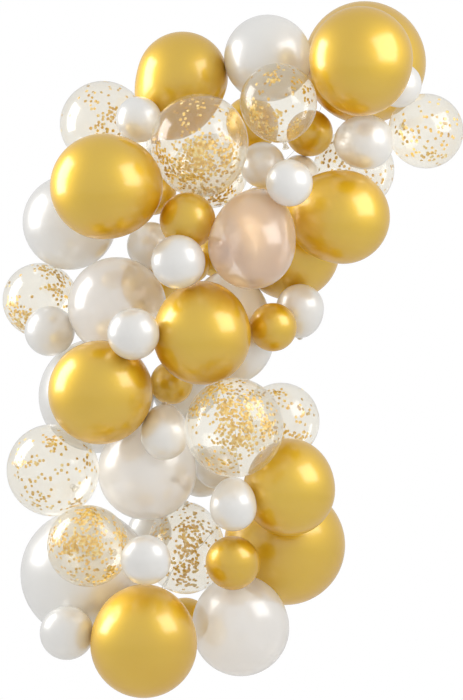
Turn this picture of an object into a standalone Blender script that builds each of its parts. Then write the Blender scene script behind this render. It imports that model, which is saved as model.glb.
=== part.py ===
"""A balloon garland: gold, pearl and clear balloons tied to one plastic strip that hangs between two hooks.

Metres, +Z up. The front faces -Y, and the wall that the garland hangs on is the plane y = 0. The origin
is on the wall, at the middle of the strip's top tab.
"""

import math
from collections import namedtuple

import bmesh
import bpy
import numpy as np
from mathutils import Matrix, Vector

# The strip: a plastic ribbon that stands edge-on to the wall and lies flat on it at its two tabs.
STRIP_WIDTH = 0.020
STRIP_THICKNESS = 0.0012
STRIP_WALL_GAP = 0.002
STRIP_SECTION_STEP = 0.085
TAB_WIDTH = 0.026
TAB_LENGTH = 0.050
TAB_THICKNESS = 0.0012
TAB_BEND = 0.004
HOOK_HOLE_RADIUS = 0.005
HOOK_HOLE_FROM_END = 0.011
HOOK_HOLE_SIDES = 12
HOOK_CUTTER_LENGTH = 0.0072

# The strip's route as seen from the front, chosen by hand: across and up from the top tab. It runs from
# the top tab's lower end to the bottom tab's upper end.
STRIP_ROUTE = (
    (0.0, -TAB_LENGTH / 2),
    (-0.0925, -0.0425),
    (-0.12, -0.1375),
    (-0.13, -0.23),
    (-0.225, -0.3375),
    (-0.325, -0.405),
    (-0.3175, -0.48),
    (-0.38, -0.5325),
    (-0.4575, -0.57),
    (-0.4575, -0.675),
    (-0.4125, -0.775),
    (-0.3775, -0.8875),
    (-0.335, -1.0),
    (-0.335, -1.1),
    (-0.36, -1.2),
    (-0.4125, -1.28),
    (-0.495, -1.35),
    (-0.53, -1.425),
    (-0.55, -1.5),
)

# Gaps between things that touch.
TOUCH_GAP = 0.0006
TOUCH_SLACK = 0.0001
NECK_CLEARANCE = 0.0015

# A tied-off balloon's tail: the neck above the knot, then the skirt that ends in the rolled lip.
NECK_RADIUS = 0.0045
KNOT_LENGTH = 0.006
TAIL_LENGTH = 0.020
LIP_RADIUS = 0.009
MINI_TAIL_SHARE = 0.75

# The three sizes of latex, each by the width that it is usually inflated to.
MINI_WIDTH = 0.120
MIDDLE_WIDTH = 0.245
LARGE_WIDTH = 0.300

# A glue dot holds a mini on its neighbour: a short clear cylinder through their point of contact. It
# bites into each of them by a share of its radius, which is more than its flat facets fall short of it.
GLUE_DOT_RADIUS = 0.006
GLUE_DOT_BITE = 0.14
GLUE_DOT_SIDES = 8

# A size of latex: its width, the tail's share of the full tail, the sides round the axis, the angles of
# the crown's rings from the crown, and the angles of the rings on the neck's side of the widest ring.
Size = namedtuple("Size", "width tail_share sides crown neck")
MINI = Size(MINI_WIDTH, MINI_TAIL_SHARE, 8, (36, 70), (48, 18))
MIDDLE = Size(MIDDLE_WIDTH, 1.0, 12, (24, 54), (62, 36, 14))
LARGE = Size(LARGE_WIDTH, 1.0, 12, (24, 54), (62, 36, 14))

GOLD = ("chrome_gold_latex", (0.72, 0.50, 0.10, 1.0), 0.22, 0.9, 1.0)
PEARL = ("pearl_white_latex", (0.86, 0.84, 0.80, 1.0), 0.30, 0.0, 1.0)
CLEAR = ("clear_latex", (0.93, 0.92, 0.90, 1.0), 0.08, 0.0, 0.35)
STRIP = ("clear_strip_plastic", (0.90, 0.92, 0.93, 1.0), 0.25, 0.0, 0.5)


class Balloon(namedtuple("Balloon", "name finish size across up fill stretch hour lean")):
    """One balloon: its name, finish and size, and its centre across and up from the top tab.

    Fill is its width as a share of its size's usual width, and stretch its length from the crown to the
    neck as a share of its width. Hour is where on a clock face its neck points, or 0 for the nearest part
    of the strip, and lean is how far the neck leans back to the wall, in degrees.
    """

    @property
    def width(self):
        return self.size.width * self.fill

    @property
    def length(self):
        return self.width * self.stretch


# The balloons in the order in which they are tied on, back to front.
BALLOONS = (
    Balloon("gold_balloon_middle_inner", GOLD, MINI, -0.385, -0.5675, 0.833, 1.040, 0, 60),
    Balloon("gold_balloon_bottom_inner", GOLD, MINI, -0.450, -1.4825, 1.021, 1.037, 0, 60),
    Balloon("pearl_balloon_lower_inner", PEARL, MINI, -0.550, -1.255, 0.917, 1.036, 0, 60),
    Balloon("gold_balloon_upper_inner", GOLD, MINI, -0.300, -0.230, 1.125, 1.037, 0, 60),
    Balloon("pearl_balloon_centre_inner", PEARL, MIDDLE, -0.465, -0.895, 0.694, 1.035, 0, 60),
    Balloon("confetti_balloon_shoulder_back", CLEAR, MIDDLE, -0.4025, -0.350, 0.755, 1.032, 0, 60),
    Balloon("gold_balloon_left_inner", GOLD, MINI, -0.555, -0.6375, 1.167, 1.036, 0, 60),
    Balloon("pearl_balloon_waist_back", PEARL, MINI, -0.429, -1.099, 1.125, 1.037, 0, 60),
    Balloon("gold_balloon_shoulder_inner", GOLD, MINI, -0.5475, -0.400, 1.000, 1.033, 0, 60),
    Balloon("confetti_balloon_left", CLEAR, MIDDLE, -0.830, -0.675, 0.755, 1.032, 0, 60),
    Balloon("confetti_balloon_centre_right", CLEAR, MIDDLE, -0.219, -0.9775, 0.786, 1.034, 0, 60),
    Balloon("pearl_balloon_left_small", PEARL, MINI, -0.550, -0.540, 1.000, 1.033, 0, 60),
    Balloon("confetti_balloon_shoulder_left", CLEAR, MIDDLE, -0.674, -0.236, 0.878, 1.153, 4, 25),
    Balloon("gold_balloon_middle_small", GOLD, MINI, -0.446, -0.5875, 0.750, 1.044, 0, 60),
    Balloon("confetti_balloon_right_back", CLEAR, MIDDLE, -0.0375, -0.345, 0.816, 1.030, 0, 60),
    Balloon("pearl_balloon_shoulder_left", PEARL, MIDDLE, -0.755, -0.480, 0.959, 1.034, 0, 60),
    Balloon("gold_balloon_shoulder_top", GOLD, MIDDLE, -0.475, -0.119, 0.929, 1.253, 5.3, 25),
    Balloon("gold_balloon_top_back", GOLD, LARGE, -0.0125, -0.0825, 1.017, 1.030, 0, 60),
    Balloon("pearl_balloon_waist_inner", PEARL, MINI, -0.390, -1.090, 0.917, 1.036, 0, 60),
    Balloon("confetti_balloon_lower_middle", CLEAR, MIDDLE, -0.460, -1.3125, 0.816, 1.237, 12, 40),
    Balloon("gold_balloon_lower_right_back", GOLD, LARGE, -0.205, -1.2875, 1.000, 1.030, 0, 60),
    Balloon("pearl_balloon_middle_left_back", PEARL, LARGE, -0.690, -0.915, 0.950, 1.032, 0, 60),
    Balloon("gold_balloon_middle_right_back", GOLD, MIDDLE, -0.200, -0.550, 1.020, 1.344, 10.5, 35),
    Balloon("pearl_balloon_right_inner", PEARL, MINI, -0.175, -0.3575, 0.813, 1.036, 0, 60),
    Balloon("pearl_balloon_left_edge_small", PEARL, MINI, -0.805, -0.7525, 1.042, 1.032, 0, 60),
    Balloon("pearl_balloon_shoulder_small", PEARL, MINI, -0.585, -0.225, 0.958, 1.035, 0, 60),
    Balloon("gold_balloon_upper_small", GOLD, MINI, -0.150, -0.2525, 0.979, 1.030, 0, 60),
    Balloon("gold_balloon_centre_small", GOLD, MINI, -0.500, -0.8825, 0.896, 1.033, 0, 60),
    Balloon("confetti_balloon_top_right", CLEAR, MIDDLE, 0.140, -0.2525, 0.765, 1.029, 0, 60),
    Balloon("pearl_balloon_upper_small_left", PEARL, MINI, -0.2675, -0.3325, 0.950, 1.053, 0, 60),
    Balloon("pearl_balloon_top_left", PEARL, MIDDLE, -0.256, -0.070, 0.888, 1.034, 0, 60),
    Balloon("pearl_balloon_right_small", PEARL, MINI, -0.175, -0.695, 1.000, 1.200, 6, 40),
    Balloon("pearl_balloon_right", PEARL, MINI, -0.009, -0.280, 1.146, 1.149, 9, 40),
    Balloon("pearl_balloon_centre_back", PEARL, MIDDLE, -0.355, -0.7725, 0.939, 1.283, 12, 25),
    Balloon("pearl_balloon_waist", PEARL, MIDDLE, -0.5625, -1.1025, 1.000, 1.033, 0, 60),
    Balloon("pearl_balloon_lower_left_back", PEARL, LARGE, -0.711, -1.3625, 1.083, 1.015, 0, 60),
    Balloon("confetti_balloon_waist_left", CLEAR, MIDDLE, -0.7975, -1.100, 0.939, 1.043, 0, 60),
    Balloon("pearl_balloon_left", PEARL, MIDDLE, -0.6375, -0.690, 1.000, 1.033, 0, 60),
    Balloon("gold_balloon_right_small", GOLD, MINI, -0.2425, -0.7425, 1.000, 1.033, 0, 60),
    Balloon("confetti_balloon_shoulder", CLEAR, MIDDLE, -0.4325, -0.2825, 1.000, 1.102, 6, 40),
    Balloon("gold_balloon_shoulder_small", GOLD, MINI, -0.4625, -0.4775, 1.167, 1.036, 0, 60),
    Balloon("pearl_balloon_top_small", PEARL, MINI, 0.0725, -0.1375, 0.938, 1.031, 0, 60),
    Balloon("pearl_balloon_bottom_right", PEARL, MIDDLE, -0.316, -1.494, 0.990, 1.085, 12, 40),
    Balloon("gold_balloon_waist_right", GOLD, MIDDLE, -0.195, -1.150, 0.939, 1.107, 12, 40),
    Balloon("pearl_balloon_waist_small_left", PEARL, MINI, -0.5175, -1.015, 1.000, 1.262, 12, 40),
    Balloon("gold_balloon_right", GOLD, MIDDLE, -0.0675, -0.4675, 0.959, 1.128, 9.2, 25),
    Balloon("confetti_balloon_top", CLEAR, MIDDLE, -0.229, -0.179, 0.786, 1.039, 5.7, 15),
    Balloon("pearl_balloon_bottom_left", PEARL, MINI, -0.7575, -1.510, 1.125, 1.037, 0, 60),
    Balloon("gold_balloon_lower_small", GOLD, MINI, -0.336, -1.3325, 1.125, 1.037, 0, 60),
    Balloon("confetti_balloon_lower_left", CLEAR, MIDDLE, -0.705, -1.2925, 0.837, 1.049, 0, 60),
    Balloon("pearl_balloon_waist_small", PEARL, MINI, -0.335, -1.194, 0.979, 1.234, 12, 40),
    Balloon("gold_balloon_centre", GOLD, MIDDLE, -0.420, -0.765, 1.000, 1.102, 12, 40),
    Balloon("gold_balloon_shoulder_left", GOLD, MIDDLE, -0.674, -0.3925, 1.082, 1.109, 3, 40),
    Balloon("pearl_balloon_middle", PEARL, MIDDLE, -0.3025, -0.541, 0.888, 1.255, 12.4, 40),
    Balloon("pearl_balloon_upper_small", PEARL, MINI, -0.2075, -0.384, 0.979, 1.030, 0, 60),
    Balloon("gold_balloon_bottom", GOLD, MIDDLE, -0.565, -1.539, 1.092, 1.107, 12, 40),
    Balloon("pearl_balloon_lower_small", PEARL, MINI, -0.560, -1.3275, 1.042, 1.032, 0, 60),
    Balloon("pearl_balloon_middle_small", PEARL, MINI, -0.4865, -0.581, 1.125, 1.030, 0, 60),
    Balloon("gold_balloon_left", GOLD, MIDDLE, -0.679, -0.906, 1.061, 1.031, 0, 60),
    Balloon("pearl_balloon_centre_small", PEARL, MINI, -0.596, -0.760, 1.083, 1.031, 0, 60),
    Balloon("confetti_balloon_centre", CLEAR, MIDDLE, -0.340, -0.995, 1.010, 1.034, 0, 60),
    Balloon("gold_balloon_top", GOLD, MIDDLE, -0.0225, -0.070, 1.061, 1.096, 6, 40),
)

# A mini that a glue dot holds on its neighbour shares its neighbour's solid: mini, then neighbour.
GLUED = (
    ("pearl_balloon_waist_inner", "pearl_balloon_waist_back"),
    ("gold_balloon_middle_small", "gold_balloon_middle_inner"),
    ("pearl_balloon_bottom_left", "pearl_balloon_lower_left_back"),
)

# How far a neck may swing and lean from its first direction to find a free gap, in degrees. A neck
# with an hour of its own first tries only the first few swings, at every lean.
NECK_SWINGS = (0, -12, 12, -24, 24, -40, 40, -60, 60, -80, 80, -100, 100, -120, 120, -150, 150, 180)
NECK_LEANS = (0, 10, -10, 20, -20, 30, -30, -45)
NEAR_SWINGS = 7
HOUR_DEGREES = 30

# Spheres that stand for a body, a tail and a tab while depths are found.
BODY_SPHERES = 6
TAIL_SPHERES = 5
TAB_SPHERES = 5

# Steps between two points of the route, from which its smooth curve is read.
CURVE_STEPS = 20

Placed = namedtuple("Placed", "row centre axis spheres tail")
Group = namedtuple("Group", "names centres radii")


def clear_scene():
    for found in list(bpy.data.objects):
        bpy.data.objects.remove(found, do_unlink=True)


def finish_material(finish):
    """The material of a finish, made once: colour, roughness, metallic and alpha."""
    name, colour, roughness, metallic, alpha = finish
    known = bpy.data.materials.get(name)
    if known:
        return known
    material = bpy.data.materials.new(name)
    material.use_nodes = True
    shader = material.node_tree.nodes["Principled BSDF"]
    shader.inputs["Base Color"].default_value = colour
    shader.inputs["Roughness"].default_value = roughness
    shader.inputs["Metallic"].default_value = metallic
    shader.inputs["Alpha"].default_value = alpha
    material.diffuse_color = colour
    return material


def add_object(name, mesh_builder, finish):
    """An object of its own from a finished bmesh."""
    mesh = bpy.data.meshes.new(name)
    mesh_builder.to_mesh(mesh)
    mesh_builder.free()
    mesh.shade_smooth()
    mesh.materials.append(finish_material(finish))
    made = bpy.data.objects.new(name, mesh)
    bpy.context.scene.collection.objects.link(made)
    return made


def smooth_route(points, step):
    """Points about a step apart on the smooth curve through the route's own points."""
    points = [Vector(point) for point in points]
    ends = [2 * points[0] - points[1]] + points + [2 * points[-1] - points[-2]]
    fine = []
    for before, here, there, after in zip(ends, ends[1:], ends[2:], ends[3:]):
        for step_index in range(CURVE_STEPS):
            fine.append(catmull_rom(before, here, there, after, step_index / CURVE_STEPS))
    fine.append(points[-1])
    lengths = [0.0]
    for one, other in zip(fine, fine[1:]):
        lengths.append(lengths[-1] + (other - one).length)
    count = max(2, round(lengths[-1] / step))
    stations = np.linspace(0, lengths[-1], count + 1)
    across = np.interp(stations, lengths, [point.x for point in fine])
    up = np.interp(stations, lengths, [point.y for point in fine])
    return [Vector((float(x), float(z))) for x, z in zip(across, up)]


def catmull_rom(before, here, there, after, share):
    """The point at a share of the way from here to there on a Catmull-Rom curve."""
    square = share * share
    cube = square * share
    return 0.5 * (
        2 * here
        + (there - before) * share
        + (2 * before - 5 * here + 4 * there - after) * square
        + (3 * here - before - 3 * there + after) * cube
    )


def tab_middles():
    """The middles of the top tab and of the bottom tab."""
    across, up = STRIP_ROUTE[-1]
    return Vector((0, 0, 0)), Vector((across, 0, up - TAB_LENGTH / 2))


def strip_spheres():
    """Spheres along the strip and its tabs that every balloon stays clear of."""
    radius = STRIP_WIDTH / 2 + STRIP_THICKNESS
    depth = -STRIP_WALL_GAP - STRIP_WIDTH / 2
    spheres = [
        (Vector((point.x, depth, point.y)), radius)
        for point in smooth_route(STRIP_ROUTE, radius / 2)
    ]
    for middle in tab_middles():
        for up in np.linspace(-TAB_LENGTH / 2, TAB_LENGTH / 2, TAB_SPHERES):
            spheres.append((middle + Vector((0, 0, float(up))), TAB_WIDTH / 2))
    return spheres


def body_spheres(row, axis):
    """Spheres inside a body, as offsets from its centre: round the crown, drawn out to the neck."""
    radius = row.width / 2
    reach = row.length - radius
    furthest = max(0.0, reach * reach - radius * radius)
    spheres = []
    for share in np.linspace(0, 1, BODY_SPHERES):
        along = float(share) * furthest / reach
        inside = radius * math.sqrt(max(0.0, 1 - along * along / furthest)) if furthest > 0 else radius
        spheres.append((axis * along, inside))
    return spheres


def tail_size(row):
    """Length and lip radius of a balloon's tail."""
    return TAIL_LENGTH * row.size.tail_share, LIP_RADIUS * row.size.tail_share


def tail_spheres(row, axis):
    """Spheres round the neck, knot and lip, as offsets from the centre."""
    reach = row.length - row.width / 2
    length, lip = tail_size(row)
    spheres = []
    for share in np.linspace(0, 1, TAIL_SPHERES):
        radius = NECK_RADIUS + (lip - NECK_RADIUS) * float(share)
        spheres.append((axis * (reach + length * float(share)), radius + NECK_CLEARANCE))
    return spheres


def depth_against(row, spheres, obstacles):
    """The y at which a balloon, pushed back at the wall, first touches it or an obstacle."""
    best = min(-radius - offset.y - TOUCH_GAP for offset, radius in spheres)
    for offset, radius in spheres:
        for centre, other in obstacles:
            across = row.across + offset.x - centre.x
            up = row.up + offset.z - centre.z
            reach = radius + other + TOUCH_GAP
            left = reach * reach - across * across - up * up
            if left > 0:
                best = min(best, centre.y - math.sqrt(left) - offset.y)
    return best


def tail_is_free(centre, tail, obstacles):
    for offset, radius in tail:
        at = centre + offset
        if at.y + radius > 0:
            return False
        for other, size in obstacles:
            if (at - other).length < radius + size:
                return False
    return True


def nearest_on_strip(row, route):
    place = Vector((row.across, row.up))
    return min(route, key=lambda point: (point - place).length)


def neck_direction(turn, lean):
    """The direction at a clock angle in the view that leans back to the wall."""
    return Vector(
        (math.sin(turn) * math.cos(lean), math.sin(lean), math.cos(turn) * math.cos(lean))
    )


def neck_choices(row, route):
    """Directions for the neck, the row's own first, then those that swing and lean away from it."""
    nearest = nearest_on_strip(row, route) - Vector((row.across, row.up))
    turn = math.radians(row.hour * HOUR_DEGREES) if row.hour else math.atan2(nearest.x, nearest.y)
    for lean_change in NECK_LEANS:
        lean = math.radians(min(90, max(0, row.lean + lean_change)))
        for swing in NECK_SWINGS[: NEAR_SWINGS if row.hour else None]:
            yield neck_direction(turn + math.radians(swing), lean)
    for swing in NECK_SWINGS:
        for lean_change in NECK_LEANS:
            lean = math.radians(min(90, max(0, row.lean + lean_change)))
            yield neck_direction(turn + math.radians(swing), lean)


def place_balloons():
    """Each balloon where it comes to rest behind its place in the view, with its neck in a free gap."""
    route = smooth_route(STRIP_ROUTE, STRIP_WIDTH)
    obstacles = strip_spheres()
    placed = {}
    for row in BALLOONS:
        chosen = None
        for axis in neck_choices(row, route):
            spheres = body_spheres(row, axis)
            y = depth_against(row, spheres, obstacles)
            centre = Vector((row.across, y, row.up))
            tail = tail_spheres(row, axis)
            if chosen is None:
                chosen = Placed(row, centre, axis, spheres, tail)
            if tail_is_free(centre, tail, obstacles):
                chosen = Placed(row, centre, axis, spheres, tail)
                break
        else:
            print("no free gap for the neck of", row.name)
        placed[row.name] = chosen
        obstacles += [(chosen.centre + offset, radius) for offset, radius in chosen.spheres]
        obstacles += [(chosen.centre + offset, radius) for offset, radius in chosen.tail]
    return placed


def sphere_arrays(spheres):
    """Spheres as an array of centres and an array of radii."""
    centres = np.array([tuple(centre) for centre, radius in spheres])
    return centres, np.array([radius for centre, radius in spheres])


def closest(group, other):
    """The smallest gap between two groups of spheres, and the direction from the first to the second."""
    apart = other.centres[None, :, :] - group.centres[:, None, :]
    lengths = np.linalg.norm(apart, axis=2)
    gaps = lengths - group.radii[:, None] - other.radii[None, :]
    here, there = np.unravel_index(np.argmin(gaps), gaps.shape)
    return float(gaps[here, there]), apart[here, there] / lengths[here, there]


def merged(groups):
    names = [name for group in groups for name in group.names]
    centres = np.vstack([group.centres for group in groups])
    return Group(names, centres, np.hstack([group.radii for group in groups]))


def drawn_up(group, others):
    """The group moved up to the others, along the wall where the way to them leads into it."""
    gap, way = closest(group, others)
    while gap > TOUCH_GAP + TOUCH_SLACK:
        step = way * (gap - TOUCH_GAP)
        room = float(np.min(-group.centres[:, 1] - group.radii))
        step[1] = min(step[1], max(0.0, room))
        group = group._replace(centres=group.centres + step)
        gap, way = closest(group, others)
    return group


def gather(placed):
    """Draws up what hangs apart, the nearest first, until the whole pile holds together on the strip."""
    groups = [Group([], *sphere_arrays(strip_spheres()))]
    for name, found in placed.items():
        spheres = [(found.centre + offset, radius) for offset, radius in found.spheres + found.tail]
        groups.append(Group([name], *sphere_arrays(spheres)))
    while len(groups) > 1:
        pairs = [(a, b) for b in range(len(groups)) for a in range(b)]
        moving = min(pairs, key=lambda pair: closest(groups[pair[0]], groups[pair[1]])[0])[1]
        group = groups.pop(moving)
        drawn = drawn_up(group, merged(groups))
        shift = Vector(drawn.centres[0] - group.centres[0])
        for name in group.names:
            placed[name] = placed[name]._replace(centre=placed[name].centre + shift)
        if shift.length > 0:
            print(f"{group.names[0]} and what it touches drawn up by {shift.length * 1000:.1f} mm")
        carrier = min(range(len(groups)), key=lambda index: closest(groups[index], drawn)[0])
        groups[carrier] = merged((groups[carrier], drawn))


def profile_of(row):
    """Rings of a balloon from its crown to its lip, each as a place along the axis and a radius."""
    radius = row.width / 2
    reach = row.length - radius
    length, lip = tail_size(row)
    rings = []
    for degrees in row.size.crown:
        angle = math.radians(degrees)
        rings.append((-radius * math.cos(angle), radius * math.sin(angle)))
    rings.append((0.0, radius))
    for degrees in row.size.neck:
        angle = math.radians(degrees)
        rings.append((reach * math.cos(angle), radius * math.sin(angle)))
    rings.append((reach + KNOT_LENGTH, NECK_RADIUS))
    rings.append((reach + length, lip))
    return rings


def turned_body(row):
    """A bmesh of one balloon on the Z axis, crown down, closed at both ends."""
    sides = row.size.sides
    rings = profile_of(row)
    builder = bmesh.new()
    crown = builder.verts.new((0, 0, -row.width / 2))
    end = builder.verts.new((0, 0, rings[-1][0]))
    loops = []
    for along, radius in rings:
        loop = []
        for side in range(sides):
            turn = 2 * math.pi * side / sides
            loop.append(builder.verts.new((radius * math.cos(turn), radius * math.sin(turn), along)))
        loops.append(loop)
    for side in range(sides):
        after = (side + 1) % sides
        builder.faces.new((crown, loops[0][after], loops[0][side]))
        builder.faces.new((end, loops[-1][side], loops[-1][after]))
        for lower, upper in zip(loops, loops[1:]):
            builder.faces.new((lower[side], lower[after], upper[after], upper[side]))
    return builder


def make_balloon(placed):
    """The balloon's object, turned so that its neck points along the axis found for it."""
    made = add_object(placed.row.name, turned_body(placed.row), placed.row.finish)
    turn = placed.axis.to_track_quat("Z", "Y").to_matrix().to_4x4()
    made.matrix_world = Matrix.Translation(placed.centre) @ turn
    return made


def make_glue_dot(one, other):
    """A cylinder through the contact of two balloons, long enough to bite into both."""
    centres = [
        (a + one.centre, ra, b + other.centre, rb)
        for a, ra in one.spheres
        for b, rb in other.spheres
    ]
    near = min(centres, key=lambda pair: (pair[0] - pair[2]).length - pair[1] - pair[3])
    here, radius, there, size = near
    along = (there - here).normalized()
    start = here + along * radius * (1 - GLUE_DOT_BITE)
    stop = there - along * size * (1 - GLUE_DOT_BITE)
    builder = bmesh.new()
    bmesh.ops.create_cone(
        builder,
        cap_ends=True,
        segments=GLUE_DOT_SIDES,
        radius1=GLUE_DOT_RADIUS,
        radius2=GLUE_DOT_RADIUS,
        depth=(stop - start).length,
    )
    made = add_object(one.row.name + "_glue_dot", builder, CLEAR)
    turn = along.to_track_quat("Z", "Y").to_matrix().to_4x4()
    made.matrix_world = Matrix.Translation((start + stop) / 2) @ turn
    return made


def join_to(carrier, others):
    """Unites the others with the carrier, and hides them."""
    for other in others:
        union = carrier.modifiers.new("with_" + other.name, "BOOLEAN")
        union.operation = "UNION"
        union.solver = "EXACT"
        union.object = other
        other.hide_render = True
        other.display_type = "WIRE"


def strip_section(point, heading, width, thickness, twist):
    """The four corners of the ribbon's section, turned by the twist from edge-on to flat."""
    side = Vector((heading.y, 0, -heading.x))
    out = Vector((0, -1, 0))
    long_way = out * math.cos(twist) + side * math.sin(twist)
    short_way = side * math.cos(twist) - out * math.sin(twist)
    return [
        point + long_way * (width / 2 * a) + short_way * (thickness / 2 * b)
        for a, b in ((-1, -1), (1, -1), (1, 1), (-1, 1))
    ]


def make_strip():
    """The ribbon along its route, with a flat tab at each end that a hook hole is cut through."""
    route = smooth_route(STRIP_ROUTE, STRIP_SECTION_STEP)
    edge_depth = -STRIP_WALL_GAP - STRIP_WIDTH / 2
    flat = Vector((0, -TAB_THICKNESS / 2, 0))
    top, bottom = (middle + flat for middle in tab_middles())
    outer_end = Vector((0, 0, TAB_LENGTH / 2))
    inner_end = Vector((0, 0, TAB_LENGTH / 2 - TAB_BEND))
    down = Vector((0, -1))
    tab_section = (down, TAB_WIDTH, TAB_THICKNESS, math.pi / 2)
    stations = [(top + outer_end, *tab_section), (top - inner_end, *tab_section)]
    last = len(route) - 1
    for index in range(1, last):
        heading = (route[index + 1] - route[index - 1]).normalized()
        place = Vector((route[index].x, edge_depth, route[index].y))
        twist = math.pi / 4 if index in (1, last - 1) else 0.0
        stations.append((place, heading, STRIP_WIDTH, STRIP_THICKNESS, twist))
    stations += [(bottom + inner_end, *tab_section), (bottom - outer_end, *tab_section)]
    builder = bmesh.new()
    sections = []
    for station in stations:
        sections.append([builder.verts.new(corner) for corner in strip_section(*station)])
    for one, other in zip(sections, sections[1:]):
        for corner in range(4):
            after = (corner + 1) % 4
            builder.faces.new((one[corner], one[after], other[after], other[corner]))
    builder.faces.new(sections[0][::-1])
    builder.faces.new(sections[-1])
    bmesh.ops.recalc_face_normals(builder, faces=builder.faces)
    bmesh.ops.triangulate(builder, faces=builder.faces)
    strip = add_object("hanging_strip", builder, STRIP)
    hole_offset = outer_end - Vector((0, 0, HOOK_HOLE_FROM_END))
    cut_hole(strip, "top_hook_hole", top + hole_offset)
    cut_hole(strip, "bottom_hook_hole", bottom - hole_offset)
    return strip


def cut_hole(strip, name, place):
    """Cuts a hook hole through the strip's tab at the place, with a hidden cylinder."""
    builder = bmesh.new()
    bmesh.ops.create_cone(
        builder,
        cap_ends=True,
        segments=HOOK_HOLE_SIDES,
        radius1=HOOK_HOLE_RADIUS,
        radius2=HOOK_HOLE_RADIUS,
        depth=HOOK_CUTTER_LENGTH,
    )
    cutter = add_object(name, builder, STRIP)
    cutter.matrix_world = Matrix.Translation(place) @ Matrix.Rotation(math.pi / 2, 4, "X")
    cutter.hide_render = True
    cutter.display_type = "WIRE"
    cut = strip.modifiers.new(name, "BOOLEAN")
    cut.operation = "DIFFERENCE"
    cut.solver = "EXACT"
    cut.object = cutter


def main():
    clear_scene()
    make_strip()
    placed = place_balloons()
    gather(placed)
    made = {name: make_balloon(found) for name, found in placed.items()}
    for mini, carrier in GLUED:
        dot = make_glue_dot(placed[mini], placed[carrier])
        join_to(made[carrier], (dot, made[mini]))
    front = min(found.centre.y - found.row.width / 2 for found in placed.values())
    print(f"{len(made)} balloons, {-front:.3f} m deep")


main()
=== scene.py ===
# %% [markdown]
# A balloon garland, dressed over its plain solids.
# The real thing is a long clear strip with balloons tied and glued to it: chrome gold ones, pearl white
# ones, and clear ones with gold paper confetti inside. Each plain solid says where a balloon is, how
# wide it is and where its neck points. This lesson reads those facts back from the solids, turns a smooth
# latex skin for each, and then gives every skin its finish.

import math
from collections import defaultdict, namedtuple

import bmesh
import bpy
import numpy as np
from mathutils import Matrix, Vector


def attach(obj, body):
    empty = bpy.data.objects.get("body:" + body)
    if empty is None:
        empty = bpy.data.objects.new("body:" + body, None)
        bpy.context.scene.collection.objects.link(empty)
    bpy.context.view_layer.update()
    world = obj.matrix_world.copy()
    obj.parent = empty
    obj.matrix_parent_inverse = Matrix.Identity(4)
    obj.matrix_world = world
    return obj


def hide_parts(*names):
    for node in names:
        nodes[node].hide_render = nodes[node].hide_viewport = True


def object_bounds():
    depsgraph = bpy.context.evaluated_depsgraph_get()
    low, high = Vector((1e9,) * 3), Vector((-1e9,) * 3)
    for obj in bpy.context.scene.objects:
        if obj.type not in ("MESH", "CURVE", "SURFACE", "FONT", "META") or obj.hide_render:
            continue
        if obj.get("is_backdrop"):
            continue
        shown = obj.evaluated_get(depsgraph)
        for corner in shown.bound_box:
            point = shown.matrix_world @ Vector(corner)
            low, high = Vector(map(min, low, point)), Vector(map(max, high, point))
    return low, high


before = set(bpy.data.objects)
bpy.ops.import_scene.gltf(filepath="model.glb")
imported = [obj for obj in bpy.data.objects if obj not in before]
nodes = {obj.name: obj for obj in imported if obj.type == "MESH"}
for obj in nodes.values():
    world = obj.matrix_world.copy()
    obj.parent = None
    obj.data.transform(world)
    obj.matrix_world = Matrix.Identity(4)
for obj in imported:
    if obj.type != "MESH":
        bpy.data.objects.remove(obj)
solid_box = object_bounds()
print(len(nodes), "solids")

# %% [markdown]
# Each solid is a turned shape with flat facets. Its crown is a fan: one point with a ring of points round
# it, all at the same distance. A ball could be fitted to all the points instead, but a balloon is only
# round on its crown's half and draws out to the neck, so the fan is the surer guide. The fan gives the
# axis and the radius, and the furthest point near the axis line gives the length. Three minis share a
# solid with a neighbour, so a solid may have two fans. A glue dot may also cover one of a fan's eight
# points, so seven are enough, and the axis comes from their plane and not from their mean.

# %% Read the balloons back from the solids
PLACE_DIGITS = 5
FAN_LEAST = 7
FAN_TOLERANCE = 0.0004
MINI_RADIUS = 0.0725
TAIL_LENGTH = 0.020
LIP_RADIUS = 0.009
MINI_TAIL_SHARE = 0.75
MILLIMETRES = 1000

Balloon = namedtuple("Balloon", "name node centre axis radius reach tail lip")


def joined_points(mesh):
    """The mesh's places without doubles, and for each the places that an edge joins it to."""
    place_of = {}
    index_of = []
    for vertex in mesh.vertices:
        key = tuple(round(value, PLACE_DIGITS) for value in vertex.co)
        index_of.append(place_of.setdefault(key, len(place_of)))
    places = [Vector(key) for key in place_of]
    near = defaultdict(set)
    for edge in mesh.edges:
        one, other = (index_of[vertex] for vertex in edge.vertices)
        near[one].add(other)
        near[other].add(one)
    return places, near


def balloon_from_fan(node, pole, ring, places):
    """The balloon whose crown is at the pole, inside the ring of points round it."""
    middle = sum(ring, Vector()) / len(ring)
    spokes = np.array([point - middle for point in ring])
    axis = Vector(np.linalg.svd(spokes)[2][-1])
    depth = (middle - pole).dot(axis)
    if depth < 0:
        axis.negate()
    radius = (ring[0] - pole).length_squared / (2 * abs(depth))
    share = MINI_TAIL_SHARE if radius < MINI_RADIUS else 1.0
    lip = LIP_RADIUS * share
    centre = pole + axis * radius
    ends = []
    for place in places:
        along = (place - centre).dot(axis)
        if abs((place - centre - axis * along).length - lip) < FAN_TOLERANCE:
            ends.append(along)
    tail = TAIL_LENGTH * share
    return Balloon(node + "_skin", node, centre, axis, radius, max(ends) - tail, tail, lip)


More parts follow.
